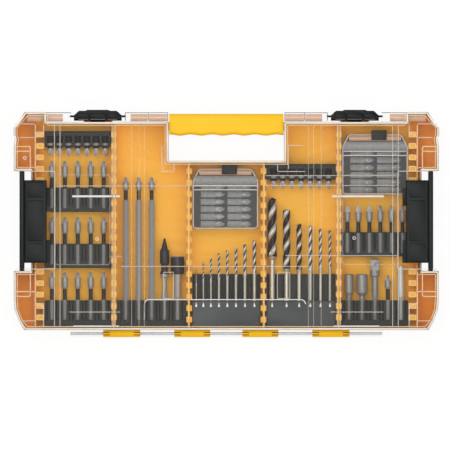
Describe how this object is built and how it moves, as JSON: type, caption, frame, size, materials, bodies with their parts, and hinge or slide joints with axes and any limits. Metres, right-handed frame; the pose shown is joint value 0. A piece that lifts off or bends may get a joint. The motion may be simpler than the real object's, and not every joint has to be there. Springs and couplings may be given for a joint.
{
  "type": "bit set case",
  "caption": "Flat tray with a clear hinged lid, corner latches and a carry handle, filled with driver bits, twist drills, nut drivers and small bit cases.",
  "frame": {"origin": "centre of the underside's box, on the plane that the case lies on", "axes": "+X along the case's length, +Y from the hinge to the handle, +Z out through the lid"},
  "size_m": [0.446, 0.2386, 0.048],
  "materials": {
    "yellow_plastic": "moulded, fine texture",
    "clear_plastic": "clear moulded polycarbonate",
    "box_plastic": "clear moulded",
    "black_plastic": "moulded, fine texture",
    "grey_plastic": "moulded",
    "black_steel": "black oxide",
    "bright_steel": "ground",
    "grey_steel": "grey phosphate"
  },
  "bodies": {
    "tray": {"base_shell": "yellow_plastic", "bits_long": "grey_steel", "bits_lower_left": "grey_steel", "bits_middle_left": "grey_steel", "bits_power_right": "grey_steel", "bits_short_left": "grey_steel", "bits_short_right": "grey_steel", "bits_upper_left": "grey_steel", "box_bars_left": "grey_plastic", "box_bars_right": "grey_plastic", "box_bits_left": "grey_steel", "box_bits_right": "grey_steel", "box_tray_left": "box_plastic", "box_tray_right": "box_plastic", "countersink": "black_steel", "cover_large_drills": "grey_plastic", "cover_small_drills": "grey_plastic", "drill_10": "black_steel", "drill_3_5": "bright_steel", "drill_4": "bright_steel", "drill_5": "bright_steel", "drill_6": "black_steel", "drill_8": "black_steel", "hinge_pin": "grey_steel", "index_large_drills": "grey_plastic", "index_small_drills": "grey_plastic", "magnetic_holder": "bright_steel", "nutsetter_large": "grey_steel", "nutsetter_small": "grey_steel", "point_bit": "grey_steel", "quick_release_holder": "grey_steel", "rack_long": "grey_plastic", "rack_lower_left": "grey_plastic", "rack_middle_left": "grey_plastic", "rack_nutsetters": "grey_plastic", "rack_power_right": "grey_plastic", "rack_short_left": "grey_plastic", "rack_short_right": "grey_plastic", "rack_upper_left": "grey_plastic", "small_drills": "bright_steel", "socket_adaptor": "grey_steel"},
    "lid": {"lid_shell": "clear_plastic"},
    "top_latch_left": {"top_latch_left": "black_plastic"},
    "top_latch_right": {"top_latch_right": "black_plastic"},
    "side_latch_left": {"side_latch_left": "black_plastic"},
    "side_latch_right": {"side_latch_right": "black_plastic"},
    "box_lid_left": {"box_lid_left": "box_plastic", "box_tab_left": "black_plastic"},
    "box_lid_right": {"box_lid_right": "box_plastic", "box_tab_right": "black_plastic"}
  },
  "joints": [
    {"name": "lid_hinge", "type": "hinge", "parent": "tray", "child": "lid", "pos_m": [0, -0.1156, 0.024], "axis": [1, 0, 0], "range_deg": [0, 180]},
    {"name": "top_latch_left_hinge", "type": "hinge", "parent": "lid", "child": "top_latch_left", "pos_m": [-0.1348, 0.1125, 0.036], "axis": [1, 0, 0], "range_deg": [0, 100]},
    {"name": "top_latch_right_hinge", "type": "hinge", "parent": "lid", "child": "top_latch_right", "pos_m": [0.1348, 0.1125, 0.036], "axis": [1, 0, 0], "range_deg": [0, 100]},
    {"name": "side_latch_left_hinge", "type": "hinge", "parent": "lid", "child": "side_latch_left", "pos_m": [-0.2142, 0.00275, 0.0436], "axis": [0, -1, 0], "range_deg": [0, 110]},
    {"name": "side_latch_right_hinge", "type": "hinge", "parent": "lid", "child": "side_latch_right", "pos_m": [0.2142, 0.00275, 0.0436], "axis": [0, 1, 0], "range_deg": [0, 110]},
    {"name": "box_lid_left_hinge", "type": "hinge", "parent": "tray", "child": "box_lid_left", "pos_m": [-0.001, -0.0059, 0.0122], "axis": [1, 0, 0], "range_deg": [0, 12]},
    {"name": "box_lid_right_hinge", "type": "hinge", "parent": "tray", "child": "box_lid_right", "pos_m": [0.1561, 0.0301, 0.0122], "axis": [1, 0, 0], "range_deg": [0, 12]}
  ]
}
